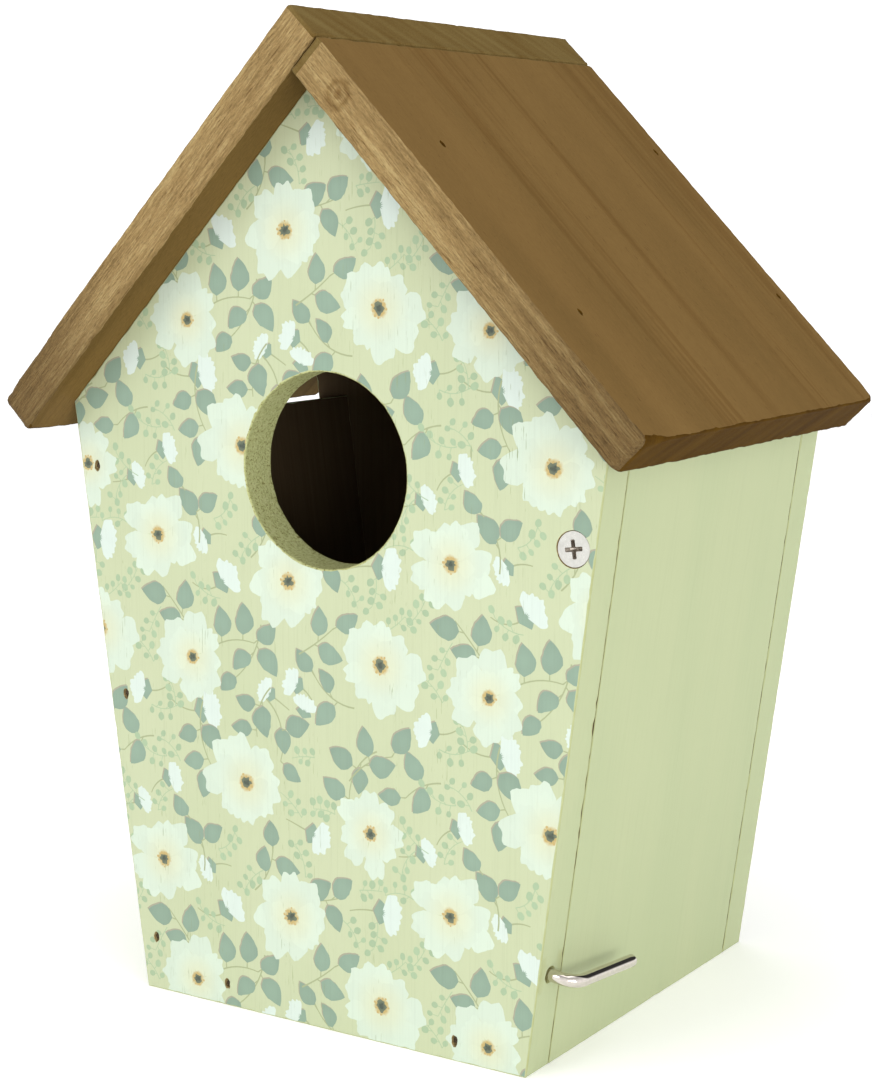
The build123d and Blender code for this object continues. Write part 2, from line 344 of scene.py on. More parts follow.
class Board:
    # a flat board built in its own plane: a and b in the plane, w below the outer face, all in millimetres

    def __init__(self, name, origin, across, up, thickness, grain, flare=0.0):
        self.name = name
        self.origin, self.across, self.up = Vector(origin), Vector(across), Vector(up)
        self.normal = self.across.cross(self.up)
        self.thickness, self.grain, self.flare = thickness, grain, flare
        self.points, self.wear, self.faces = [], [], []
        self.soaked = None  # how much darker the stain is along the board
        self.knot = None  # where a knot shows on the edge
        self.wornSpots = []  # whether on the outer arris, where, how far it reaches, how deep
        self.face = []  # per face: material index, smooth
        self.ink = {}  # per face: its corner colours

    def add(self, a, b, w, wear=0.0):
        self.points.append((a, b, w))
        self.wear.append(wear)
        return len(self.points) - 1

    def addFace(self, corners, material, smooth):
        self.faces.append(corners)
        self.face.append((material, smooth))

    def world(self, a, b, w):
        if self.flare:
            a += math.copysign(-w * self.flare, a)
        return (self.origin + self.across * a + self.up * b + self.normal * w) * mm

    def roughness(self, a, b, w, size):
        return noise.noise(self.world(a, b, w) / mm / size + Vector((self.grain, 7.1, 3.3)))


def softOutline(corners, radius, step):
    # an anticlockwise outline with eased corners, sampled about every step as point, inward normal, and the
    # furthest that the arris may go in from there
    radii = [c[2] if len(c) > 2 else radius for c in corners]
    corners = [Vector(c[:2]) for c in corners]
    samples = []
    count = len(corners)
    for k in range(count):
        before, here, after = corners[k - 1], corners[k], corners[(k + 1) % count]
        towards, away = (here - before).normalized(), (after - here).normalized()
        turn = math.atan2(towards.x * away.y - towards.y * away.x, towards.dot(away))
        radius, nextRadius = radii[k], radii[(k + 1) % count]
        cut = radius * math.tan(turn / 2)
        inward = Vector((-towards.y, towards.x))
        centre = here - towards * cut + inward * radius
        parts = max(3, round(math.degrees(turn) / 15))
        for i in range(parts + 1):
            angle = turn * i / parts
            c, s = math.cos(angle), math.sin(angle)
            normal = Vector((inward.x * c - inward.y * s, inward.x * s + inward.y * c))
            samples.append((centre - normal * radius, normal, 0.85 * radius))
        start = here + away * cut
        following = corners[(k + 2) % count]
        onward = (following - after).normalized()
        nextTurn = math.atan2(away.x * onward.y - away.y * onward.x, away.dot(onward))
        end = after - away * (nextRadius * math.tan(nextTurn / 2))
        pieces = max(1, round((end - start).length / step))
        normal = Vector((-away.y, away.x))
        for i in range(1, pieces):
            samples.append((start.lerp(end, i / pieces), normal, 9.0))
    return samples


def roundHole(centre, radius, sides):
    # clockwise, so that the wood is on its left as on the outline
    made = []
    for i in range(sides):
        angle = -2 * math.pi * i / sides
        out = Vector((math.cos(angle), math.sin(angle)))
        made.append((Vector(centre) + out * radius, out, 9.0))
    return made


def pitLoop(board, centre, radius, sides, ragged, stretch=1.0, wide=0.0):
    made = []
    for i in range(sides):
        angle = -2 * math.pi * i / sides
        near = (centre[0] + 9 * math.cos(angle), centre[1] + 9 * math.sin(angle))
        r = radius * (1 + ragged * board.roughness(*near, 0, 5))
        side = math.copysign(wide, math.cos(angle))
        made.append((centre[0] + r * math.cos(angle) + side, centre[1] + r * math.sin(angle) * stretch))
    return made


def arrisSize(board, point, w, base, chip):
    coarse, fine = board.roughness(point.x, point.y, w, 3.1), board.roughness(point.x, point.y, w, 0.9)
    ragged = base * (1 + 0.6 * coarse + 0.35 * fine)
    torn = max(0.0, board.roughness(point.x, point.y, w + 50, 2.3) - 0.32) / 0.4
    size = max(0.05, ragged + chip * min(1.0, torn))
    for front, spot, reach, worn in board.wornSpots:
        away = (point - Vector(spot)).length / reach
        if front == (w == 0) and away < 1:
            size = max(size, worn * (1 - away * away) * (0.85 + 0.3 * board.roughness(point.x, point.y, w, 1.7)))
    return size


def wallRings(board, loop, front, back, rows, rough):
    # rings of vertices from the front face over both arrises to the back face
    depth = board.thickness
    arcs = [0.0, 30.0, 60.0, 90.0]
    fronts = [min(limit, arrisSize(board, p, 0, *front)) for p, n, limit in loop]
    backs = [min(limit, arrisSize(board, p, -depth, *back)) for p, n, limit in loop]

    def arris(degrees, sizes, face, inwards):
        s, c = math.sin(math.radians(degrees)), math.cos(math.radians(degrees))
        worn = 1.0 if degrees else 0.0
        spots = [(p + n * e * (1 - s), face + inwards * e * (1 - c)) for (p, n, _), e in zip(loop, sizes)]
        return [board.add(*spot, w, worn) for spot, w in spots]

    rings = [arris(degrees, fronts, 0, -1) for degrees in arcs]
    for row in range(rows + 1):
        share = (0.04, *[(i + 0.5) / rows for i in range(rows - 1)], 0.96)[row] if rows > 1 else row
        ring = []
        for (p, n, _), ef, eb in zip(loop, fronts, backs):
            w = -ef - (depth - ef - eb) * share
            dent = rough * (0.5 + 0.5 * board.roughness(p.x, p.y, w, 1.3))
            ring.append(board.add(*(p + n * dent), w, 0.0))
        rings.append(ring)
    rings += [arris(degrees, backs, -depth, 1) for degrees in reversed(arcs)]
    return rings


def anticlockwise(start, points):
    # the indices of points put in from start on, in the order that has the inside on the left
    area = sum(a[0] * b[1] - a[1] * b[0] for a, b in zip(points, points[1:] + points[:1]))
    order = list(range(start, start + len(points)))
    return order if area > 0 else order[::-1]


def fillFlat(board, loops, place, lift, shapes=(), extra=()):
    # triangles of a flat region inside the first loop and outside the others; returns them with their shape,
    # and the vertices that a shape's edge added along each loop
    flat, source, faces = [], [], []
    for loop in loops:
        faces.append(anticlockwise(len(flat), [place(board.points[i]) for i in loop]))
        flat += [place(board.points[i]) for i in loop]
        source += loop
    for points in shapes:
        faces.append(anticlockwise(len(flat), points))
        flat += points
    flat += extra
    made = delaunay_2d_cdt([Vector(p) for p in flat], [], faces, 0, 1e-6, True)
    places, triangles, origins, inFaces = made[0], made[2], made[3], made[5]
    used = {}

    def vertex(k):
        if k not in used:
            own = [i for i in origins[k] if i < len(source)]
            used[k] = source[own[0]] if own else board.add(*lift(places[k]))
        return used[k]

    kept, edges = [], {}
    holes = set(range(1, len(loops)))
    for triangle, inside in zip(triangles, inFaces):
        if 0 not in inside or holes & set(inside):
            continue
        corners = [vertex(k) for k in triangle]
        kept.append((corners, max(inside) - len(loops)))
        for i in range(len(corners)):
            edges[corners[i - 1], corners[i]] = True
    onward = {u: v for u, v in edges if (v, u) not in edges}
    between = {}
    for loop in loops:
        for here, there in zip(loop, loop[1:] + loop[:1]):
            step, passed = onward[here], []
            while step != there:
                passed.append(step)
                step = onward[step]
            between[here, there] = passed
    return kept, between


def addPit(board, loop, ringPoints, material):
    # walls and floor of a blind hole: ringPoints gives each further ring's corners
    rings = [loop] + [[board.add(*p, 0.6) for p in points] for points in ringPoints]
    joinRings(board, rings, material)
    centre = np.mean([board.points[i] for i in rings[-1]], axis=0)
    middle = board.add(*centre)
    last = rings[-1]
    for i in range(len(last)):
        board.addFace([last[i], middle, last[(i + 1) % len(last)]], material, False)


def joinRings(board, rings, material, between=None, backBetween=None, skip=()):
    for j in range(len(rings) - 1):
        upper, lower = rings[j], rings[j + 1]
        for i in range(len(upper)):
            k = (i + 1) % len(upper)
            if (j, i) in skip:
                continue
            corners = [upper[i], lower[i]]
            if backBetween is not None and j == len(rings) - 2:
                corners += reversed(backBetween[lower[k], lower[i]])
            corners += [lower[k], upper[k]]
            if between is not None and j == 0:
                corners += reversed(between[upper[i], upper[k]])
            index = material(lower[i], upper[i]) if callable(material) else material
            board.addFace(corners, index, True)


def pitRings(loopPoints, centre, profile, lift):
    rings = []
    for share, depth in profile:
        inner = [(centre[0] + (x - centre[0]) * share, centre[1] + (y - centre[1]) * share) for x, y in loopPoints]
        rings.append([lift(x, y, depth) for x, y in inner])
    return rings


def buildBoard(board, corners, look, holes=(), pits=(), edgePit=None, printed=None):
    loop = softOutline(corners, look["corner"], look["step"])
    rings = wallRings(board, loop, look["front"], look["back"], look["rows"], look["rough"])
    holeRings = []
    for centre, radius, sides in holes:
        loopHere = roundHole(centre, radius, sides)
        holeRings.append(wallRings(board, loopHere, look["holeFront"], look["holeBack"], 7, look["holeRough"]))
    pitLoops = []
    for pit in pits:
        shape = pit.get("stretch", 1.0), pit.get("wide", 0.0)
        points = pitLoop(board, pit["centre"], pit["radius"], pit["sides"], pit["ragged"], *shape)
        pitLoops.append([board.add(x, y, 0) for x, y in points])
        made = pitRings(points, pit["centre"], pit["profile"], lambda x, y, w: (x, y, -w))
        addPit(board, pitLoops[-1], made, look["pit"])
    # the front face, printed or plain
    loops = [rings[0]] + [r[0] for r in holeRings] + pitLoops
    shapes, extra = ([s["points"] for s in printed], printGrid(corners)) if printed else ((), ())
    kept, between = fillFlat(board, loops, lambda p: (p[0], p[1]), lambda p: (p.x, p.y, 0.0), shapes, extra)
    for triangle, shape in kept:
        if printed:
            board.ink[len(board.faces)] = [inkAt(printed, shape, board.points[i]) for i in triangle]
        board.addFace(triangle, look["faceFront"], False)
    # the back face
    backs = [list(reversed(rings[-1]))] + [list(reversed(r[-1])) for r in holeRings]
    thickness = board.thickness
    keptBack, backBetween = fillFlat(board, backs, lambda p: (-p[0], p[1]), lambda p: (-p.x, p.y, -thickness))
    for triangle, _ in keptBack:
        board.addFace(triangle, look["faceBack"], False)
    skip = openWindow(board, rings, loop, edgePit, look) if edgePit else ()
    joinRings(board, rings, look["wall"], between, backBetween, skip)
    for made in holeRings:
        joinRings(board, made, look["holeWall"], between, backBetween)


def openWindow(board, rings, loop, pit, look):
    # a round hole in the board's edge: the wall's quads around it give way to a flat patch
    near = Vector(pit["at"])
    column = min(range(len(loop)), key=lambda i: (loop[i][0] - near).length)
    reach = pit["reach"]
    count = len(loop)
    tangent = (loop[(column + 1) % count][0] - loop[column - 1][0]).normalized()
    inward = loop[column][1]
    first, last = 3, len(rings) - 4
    columns = [(column + k) % count for k in range(-reach, reach + 1)]

    def place(point):
        return ((Vector(point[:2]) - near).dot(tangent), point[2])

    def lift(s, w, depth=0.0):
        spot = near + tangent * s + inward * depth
        return (spot.x, spot.y, w)

    outer = [rings[last][i] for i in columns]
    outer += [rings[j][columns[-1]] for j in range(last - 1, first, -1)]
    outer += [rings[first][i] for i in reversed(columns)]
    outer += [rings[j][columns[0]] for j in range(first + 1, last)]
    middle = (0.0, -board.thickness / 2)
    points = pitLoop(board, middle, pit["radius"], 28, pit["ragged"])
    hole = [board.add(*lift(x, y)) for x, y in points]
    kept, _ = fillFlat(board, [outer, hole], place, lambda p: lift(p.x, p.y))
    for triangle, _ in kept:
        board.addFace(triangle, look["wall"], False)
    made = pitRings(points, middle, pit["profile"], lambda x, y, w: lift(x, y, w))
    addPit(board, hole, made, look["holeWall"])
    return {(j, i) for j in range(first, last) for i in columns[:-1]}


def finishBoard(board, materials, body, node):
    mesh = bpy.data.meshes.new(board.name)
    mesh.from_pydata([board.world(*p) for p in board.points], [], board.faces)
    for material in materials:
        mesh.materials.append(material)
    mesh.polygons.foreach_set("material_index", [f[0] for f in board.face])
    mesh.polygons.foreach_set("use_smooth", [f[1] for f in board.face])
    grain = mesh.attributes.new("grain", "FLOAT_VECTOR", "POINT")
    # along the grain, across it, and into the board, with a shift of its own for each board
    shift = board.grain * 37.0
    values = [(b + shift, a + shift * 1.3, w - shift) for a, b, w in board.points]
    grain.data.foreach_set("vector", np.array(values, np.float32).ravel())
    wear = mesh.attributes.new("wear", "FLOAT", "POINT")
    wear.data.foreach_set("value", np.array(board.wear, np.float32))
    if board.soaked:
        soaked = mesh.attributes.new("soaked", "FLOAT", "POINT")
        soaked.data.foreach_set("value", np.array([board.soaked(b) for _, b, _ in board.points], np.float32))
        knot = mesh.attributes.new("knot", "FLOAT", "POINT")
        distances = [min(1.0, (Vector(p) - Vector(board.knot)).length / 12) for p in board.points]
        knot.data.foreach_set("value", np.array(distances, np.float32))
    if board.ink:
        ink = mesh.color_attributes.new("ink", "FLOAT_COLOR", "CORNER")
        colours = np.ones((len(mesh.loops), 4), np.float32)
        for polygon in mesh.polygons:
            if polygon.index in board.ink:
                start = polygon.loop_start
                colours[start : start + polygon.loop_total, :3] = board.ink[polygon.index]
        ink.data.foreach_set("color", colours.ravel())
    mesh.validate(clean_customdata=False)
    mesh.update()
    piece = bpy.data.objects.new(board.name, mesh)
    bpy.context.scene.collection.objects.link(piece)
    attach(piece, body)
    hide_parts(node)
    return piece


# The printed flowers

# One repeat of the print in millimetres, designed here: open ragged daisies over trailing leaves and berries
flowerPrint = dict(
    wide=84.0,
    tall=81.0,
    seed=11,
    grid=1.5,
    ground="#b2b998",
    groundShade="#adb592",
    petal="#becbba",
    petalHeart="#c2c7ac",
    ring="#b09a63",
    heart="#656d59",
    heartDark="#434c41",
    leaf="#809684",
    leafDark="#7b907f",
    rim="#95927f",
    stem="#949c78",
    berry="#97ab8b",
    bud="#c0ccc3",
    flowers=[(12, 16, 11.2), (41, 12, 9.8), (70, 33, 10.9), (31, 41, 10.6), (9, 57, 9.4), (57, 64, 11.3)],
    buds=11,
    budSize=4.8,
    sprays=14,
    leafSize=(5.8, 7.8),
    sprigs=22,
)
inks = {key: Vector(toLinear(value)) for key, value in flowerPrint.items() if isinstance(value, str)}


def smooth(low, high, value):
    # 0 at low, 1 at high, and a soft step between
    t = min(1.0, max(0.0, (value - low) / (high - low)))
    return t * t * (3 - 2 * t)


def inkAt(shapes, index, point):
    x, y = point[0], point[1]
    if index < 0:
        cloud = noise.noise(Vector((x / 17, y / 40, 1.5)))
        return inks["ground"].lerp(inks["groundShade"], 0.5 + 0.5 * cloud)
    shape = shapes[index]
    away = math.hypot(x - shape["centre"][0], y - shape["centre"][1])
    mix = smooth(shape["from"], shape["to"], away)
    return shape["inner"].lerp(shape["outer"], mix) * shape["tone"]


def shapeOf(points, centre, inner, outer, start=0.0, end=1.0, tone=1.0):
    made = {"points": points, "centre": centre, "inner": inks[inner], "outer": inks[outer]}
    return {**made, "from": start, "to": end, "tone": tone}


def petal(centre, angle, length, spread, rnd):
    # a wedge with a wavy outer edge, as polar points round the flower's centre
    points = [(centre[0] + length * 0.12 * math.cos(angle), centre[1] + length * 0.12 * math.sin(angle))]
    phase = rnd.uniform(0, 6.28)
    waves = rnd.choice((1.5, 2.0, 2.5))
    for k in range(15):
        u = -1 + 2 * k / 14
        reach = length * (1 - 0.24 * abs(u) ** 3.0) * (1 + 0.05 * math.cos(waves * math.pi * u + phase))
        reach *= rnd.uniform(0.985, 1.015)
        turn = angle + spread * u * (0.8 + 0.2 * abs(u))
        points.append((centre[0] + reach * math.cos(turn), centre[1] + reach * math.sin(turn)))
    return points


def blob(centre, radius, sides, ragged, rnd, squash=1.0, turn=0.0):
    points = []
    c, s = math.cos(turn), math.sin(turn)
    for k in range(sides):
        angle = 2 * math.pi * k / sides
        r = radius * (1 + rnd.uniform(-ragged, ragged))
        x, y = r * math.cos(angle), r * math.sin(angle) * squash
        points.append((centre[0] + x * c - y * s, centre[1] + x * s + y * c))
    return points


def flower(x, y, size, rnd):
    centre = (x, y)
    made = []
    start = rnd.uniform(0, 6.28)
    layers = ((8, 1.08, 0.4, 0.24), (9, 0.9, 0.38, 0.2), (7, 0.6, 0.44, 0.1))
    for count, share, spread, vary in layers:
        order = list(range(count))
        rnd.shuffle(order)
        start += 0.35
        for k in order:
            angle = start + 2 * math.pi * (k + rnd.uniform(-0.18, 0.18)) / count
            length = size * share * rnd.uniform(1 - vary, 1 + vary * 0.3)
            points = petal(centre, angle, length, spread * rnd.uniform(0.9, 1.2), rnd)
            made.append(shapeOf(points, centre, "petalHeart", "petal", size * 0.15, size * 0.8, rnd.uniform(0.945, 1.0)))
    heart = blob(centre, size * 0.215, 30, 0.2, rnd)
    made.append(shapeOf(heart, centre, "ring", "petalHeart", size * 0.13, size * 0.23))
    for k in range(12):
        angle = 2 * math.pi * (k + rnd.uniform(-0.4, 0.4)) / 12
        reach = size * rnd.uniform(0.12, 0.2)
        dot = (x + reach * math.cos(angle), y + reach * math.sin(angle))
        made.append(shapeOf(blob(dot, size * rnd.uniform(0.02, 0.035), 7, 0.25, rnd), dot, "ring", "ring"))
    made.append(shapeOf(blob(centre, size * 0.12, 18, 0.3, rnd), centre, "heartDark", "heart", 0.0, size * 0.13))
    for k in range(5):
        dot = (x + rnd.uniform(-0.05, 0.05) * size, y + rnd.uniform(-0.05, 0.05) * size)
        made.append(shapeOf(blob(dot, size * 0.03, 6, 0.3, rnd), dot, "heartDark", "heartDark"))
    return made


def leaf(base, angle, length, width, rnd):
    points = []
    half = 9
    c, s = math.cos(angle), math.sin(angle)
    bend = rnd.uniform(-0.12, 0.12) * length
    side = [(k / half, 1) for k in range(half + 1)] + [(k / half, -1) for k in range(half - 1, 0, -1)]
    for t, sign in side:
        y = sign * 0.5 * width * math.sin(math.pi * t ** 0.85) ** 0.8 * (1.1 - 0.3 * t)
        y += bend * math.sin(math.pi * t)
        if 0 < t < 1:
            y += rnd.uniform(-0.12, 0.12)
        x = length * t
        points.append((base[0] + x * c - y * s, base[1] + x * s + y * c))
    centre = (base[0] + 0.45 * length * c, base[1] + 0.45 * length * s)
    shadow = [(x - 0.32, y + 0.3) for x, y in points]
    tone = rnd.uniform(0.95, 1.03)
    return [
        shapeOf(shadow, centre, "rim", "rim"),
        shapeOf(points, centre, "leaf", "leafDark", 0.0, length * 0.6, tone),
    ]


def stemPath(base, angle, length, curve, parts=9):
    path = []
    for k in range(parts + 1):
        t = k / parts
        bend = angle + curve * t
        path.append((base[0] + length * t * math.cos(bend), base[1] + length * t * math.sin(bend)))
    return path


def ribbon(path, width, ink="stem"):
    left, right = [], []
    for k, (x, y) in enumerate(path):
        before, after = path[max(0, k - 1)], path[min(len(path) - 1, k + 1)]
        dx, dy = after[0] - before[0], after[1] - before[1]
        size = math.hypot(dx, dy)
        taperHere = width * (1 - 0.4 * k / len(path)) / 2
        nx, ny = -dy / size * taperHere, dx / size * taperHere
        left.append((x + nx, y + ny))
        right.append((x - nx, y - ny))
    return shapeOf(left + right[::-1], path[0], ink, ink)


class Tile:
    # one repeat, with the round places already taken in it, so that the motifs fill it evenly

    def __init__(self):
        self.taken, self.groups = [], []

    def free(self, x, y, radius):
        wide, tall = flowerPrint["wide"], flowerPrint["tall"]
        for ox, oy, other in self.taken:
            dx = (x - ox + wide / 2) % wide - wide / 2
            dy = (y - oy + tall / 2) % tall - tall / 2
            if math.hypot(dx, dy) < radius + other:
                return False
        return True

    def spot(self, rnd):
        return rnd.uniform(0, flowerPrint["wide"]), rnd.uniform(0, flowerPrint["tall"])


def spray(tile, rnd):
    # a stem with leaves left and right where there is room; none if fewer than three fit
    x, y = tile.spot(rnd)
    angle = rnd.uniform(0, 6.28)
    path = stemPath((x, y), angle, rnd.uniform(10, 17), rnd.uniform(-0.7, 0.7))
    made, taken = [ribbon(path, 0.42)], []
    for k in range(3, len(path)):
        spot = path[k]
        side = 1 if k % 2 else -1
        lean = angle + side * rnd.uniform(0.75, 1.1) if k < len(path) - 1 else angle
        size = rnd.uniform(*flowerPrint["leafSize"])
        start = (spot[0] + 1.3 * math.cos(lean), spot[1] + 1.3 * math.sin(lean))
        middle = (start[0] + size * 0.5 * math.cos(lean), start[1] + size * 0.5 * math.sin(lean))
        crowded = any(math.hypot(middle[0] - t[0], middle[1] - t[1]) < 6.0 for t in taken)
        if crowded or not tile.free(*middle, 2.4):
            continue
        taken.append((*middle, 3.0))
        made.append(ribbon([spot, ((spot[0] + start[0]) / 2, (spot[1] + start[1]) / 2), start], 0.36))
        made += leaf(start, lean, size, size * rnd.uniform(0.66, 0.76), rnd)
    if len(taken) < 3:
        return False
    tile.taken += taken
    tile.groups.append(made)
    return True


def sprig(tile, rnd):
    # a thin stalk of berries
    x, y = tile.spot(rnd)
    angle = rnd.uniform(0, 6.28)
    path = stemPath((x, y), angle, rnd.uniform(6, 9), rnd.uniform(-0.6, 0.6), 6)
    made, taken = [ribbon(path, 0.24, "berry")], []
    for k, spot in enumerate(path):
        side = 1 if k % 2 else -1
        reach = rnd.uniform(1.3, 2.4)
        lean = angle + side * 1.1
        dot = (spot[0] + reach * math.cos(lean), spot[1] + reach * math.sin(lean))
        if not tile.free(*dot, 0.9):
            continue
        taken.append((*dot, 1.0))
        made.append(ribbon([spot, ((spot[0] + dot[0]) / 2, (spot[1] + dot[1]) / 2), dot], 0.2, "berry"))
        outline = blob(dot, rnd.uniform(0.75, 1.1), 11, 0.07, rnd, 0.85, lean)
        made.append(shapeOf(outline, dot, "berry", "berry", 0, 1, rnd.uniform(0.92, 1.02)))
    if len(taken) < 5:
        return False
    tile.taken += taken
    tile.groups.append(made)
    return True


def bud(tile, rnd):
    # a half-open flower from the side: a white scalloped cup over a leaf-coloured base
    size = flowerPrint["budSize"] * rnd.uniform(0.7, 1.15)
    x, y = tile.spot(rnd)
    if not tile.free(x, y, size * 0.8):
        return False
    angle = rnd.uniform(0, 6.28)
    c, s = math.cos(angle), math.sin(angle)
    root = (x - size * 0.55 * c, y - size * 0.55 * s)
    made = [ribbon(stemPath(root, angle + math.pi, size * 1.7, rnd.uniform(-0.8, 0.8)), 0.42)]
    for lean, shift in ((1, 0.35), (1, 0.0)):
        points = []
        for k in range(13):
            turn = angle + 1.5 * (k / 6 - 1)
            reach = size * (0.5 + 0.12 * abs(k / 6 - 1) ** 2)
            across = root[0] + reach * math.cos(turn) - shift
            points.append((across, root[1] + reach * math.sin(turn) + shift * 0.8))
        points.append((root[0] - size * 0.3 * c - shift, root[1] - size * 0.3 * s + shift * 0.8))
        tones = ("rim", "rim") if shift else ("leaf", "leafDark")
        made.append(shapeOf(points, root, *tones, 0, size))
    base = (root[0] + size * 0.12 * c, root[1] + size * 0.12 * s)
    for k in range(5):
        lean = angle + (k - 2) * 0.42
        points = petal(base, lean, size * rnd.uniform(1.1, 1.3), 0.36, rnd)
        made.append(shapeOf(points, base, "bud", "bud", 0.0, 1.0, rnd.uniform(0.985, 1.0)))
    tile.taken.append((x, y, size * 0.8))
    tile.groups.append(made)
    return True


def printShapes(halfWide, high):
    rnd = random.Random(flowerPrint["seed"])
    tile = Tile()
    blooms = []
    for x, y, size in flowerPrint["flowers"]:
        blooms.append(flower(x, y, size, rnd))
        tile.taken.append((x, y, size * 0.88))
    for motif, name in ((bud, "buds"), (spray, "sprays"), (sprig, "sprigs")):
        wanted = flowerPrint[name]
        done = 0
        for attempt in range(2500):
            done += motif(tile, rnd)
            if done == wanted:
                break
    made = []
    wide, tall = flowerPrint["wide"], flowerPrint["tall"]
    for group in tile.groups + blooms:
        for column in range(-2, 2):
            for row in range(-1, 4):
                dx, dy = column * wide + 4.0, row * tall - 7.0
                for shape in group:
                    points = [(x + dx, y + dy) for x, y in shape["points"]]
                    xs, ys = [p[0] for p in points], [p[1] for p in points]
                    if max(xs) < -halfWide or min(xs) > halfWide or max(ys) < 0 or min(ys) > high:
                        continue
                    centre = (shape["centre"][0] + dx, shape["centre"][1] + dy)
                    made.append({**shape, "points": points, "centre": centre})
    return made


def printGrid(corners):
    # loose points inside the panel, so that soft colours have somewhere to change
    rnd = random.Random(3)
    step = flowerPrint["grid"] * 1
    made = []
    y = step
    while y < apexZ:
        half = min(house["bottomWidth"] / 2 + y * math.tan(taper), (apexZ - y) / math.tan(pitch)) - 1.5
        x = -half
        while x < half:
            made.append((x + rnd.uniform(0, 0.3) * step, y + rnd.uniform(-0.3, 0.3) * step))
            x += step
        y += step
    return made


# The seven boards

gable = [
    (-house["bottomWidth"] / 2, 0),
    (house["bottomWidth"] / 2, 0),
    (house["eaveWidth"] / 2, house["eaveHeight"]),
    (0, apexZ),
    (-house["eaveWidth"] / 2, house["eaveHeight"]),
]
sprayedLook = dict(
    corner=0.35, step=1.6, rows=6, rough=0.06, front=(0.3, 0.35), back=(0.16, 0.5),
    holeFront=(0.35, 0.4), holeBack=(0.3, 0.3), holeRough=0.16,
    faceFront=0, wall=0, faceBack=1, pit=2, holeWall=3,
)
entrance = dict(x=0.5, z=133.6, radius=22.7)
bradPlaces = [(-68.0, 130.5), (-60.3, 74.3), (-52.0, 13.3), (-29.7, 5.5), (36.1, 4.8)]
pivot = dict(x=66.0, z=121.0)
latch = dict(up=23.7, mouth=2.1)
chips = [(80.0, 2.6, 1.1), (61.0, 2.0, 0.9)]
countersink = [(0.985, 0.5), (0.49, 2.75), (0.49, 9.0)]
bradPit = [(0.86, 0.5), (0.8, 1.1)]


def panelPits(side):
    brad = dict(radius=0.86, sides=14, ragged=0.3, stretch=1.6, profile=bradPit)
    screw = dict(radius=4.13, sides=56, ragged=0.02, profile=countersink)
    pits = [dict(brad, centre=(side * x, z)) for x, z in bradPlaces]
    return [*pits, dict(screw, centre=(side * pivot["x"], pivot["z"]))]


shapes = printShapes(house["eaveWidth"] / 2, apexZ)
print("print drawn:", len(shapes), "shapes")
board = Board("frontPanel", (0, frontY, 0), (1, 0, 0), (0, 0, 1), house["board"], 1.0)
frontLook = {**sprayedLook, "faceFront": 4}
hookAt = (house["bottomWidth"] / 2 + latch["up"] * math.sin(taper), latch["up"] * math.cos(taper))
mouth = [(0.97, 0.9), (0.7, 1.3), (0.68, 9.0)]
edgePit = dict(at=hookAt, radius=latch["mouth"], ragged=0.12, reach=3, profile=mouth)
hole = ((entrance["x"], entrance["z"]), entrance["radius"], 160)
for z, reach, size in chips:
    board.wornSpots.append((False, (house["bottomWidth"] / 2 + z * math.tan(taper), z), reach, size))
buildBoard(board, gable, frontLook, [hole], panelPits(1), edgePit, shapes)
frontPanel = finishBoard(board, [*panelLooks, printedPanel], "box", "front_panel")
print("front panel:", len(board.faces), "faces")

board = Board("backPanel", (0, backY, 0), (-1, 0, 0), (0, 0, 1), house["board"], 2.0)
# the seat of the hanger plate, with the deeper pocket for the wall screw's head behind its keyhole
hanger = dict(z=186.5, spacing=36.0)
hangerSeat = dict(
    centre=(0, hanger["z"]), radius=12.12, wide=13.0, sides=72, ragged=0.0,
    profile=[(1.0, 1.25), (0.62, 1.25), (0.62, 6.0)],
)
buildBoard(board, gable, sprayedLook, [], [*panelPits(-1), hangerSeat])
backPanel = finishBoard(board, panelLooks, "box", "back_panel")

sideUp = Vector((math.sin(taper), 0, math.cos(taper)))
leftUp = Vector((-math.sin(taper), 0, math.cos(taper)))
halfDoor = innerY - house["doorGap"]
sideTop = house["sideLength"]
doorOutline, sideOutline = [[(-x, 0), (x, 0), (x, sideTop), (-x, sideTop)] for x in (halfDoor, innerY)]
board = Board("sideDoor", (house["bottomWidth"] / 2, 0, 0), (0, 1, 0), sideUp, house["board"], 3.0)


def shadedGapWall(i, _):
    # the edges that close against the front and back panels take the dark inside wood: painted shade in the gaps
    a, _, deep = board.points[i]
    return 1 if abs(a) > halfDoor - 0.12 and abs(deep) > 0.5 else 0


buildBoard(board, doorOutline, {**sprayedLook, "front": (0.22, 0.5), "wall": shadedGapWall})
sideDoor = finishBoard(board, panelLooks, "door", "side_door")
board = Board("leftSide", (-house["bottomWidth"] / 2, 0, 0), (0, -1, 0), leftUp, house["board"], 4.0)
buildBoard(board, sideOutline, {**sprayedLook, "front": (0.16, 0.5)})
leftSide = finishBoard(board, panelLooks, "box", "left_side_panel")

innerHalf = house["bottomWidth"] / 2 - house["board"] / math.cos(taper)
floorRight = innerHalf - house["floorGap"]
floorOutline = [(-innerHalf, -innerY), (floorRight, -innerY), (floorRight, innerY), (-innerHalf, innerY)]
board = Board("floorBoard", (0, 0, 0), (1, 0, 0), (0, -1, 0), house["board"], 5.0, math.tan(taper))
buildBoard(board, floorOutline, {**sprayedLook, "front": (0.25, 0.3)})
floorBoard = finishBoard(board, panelLooks, "box", "floor_board")

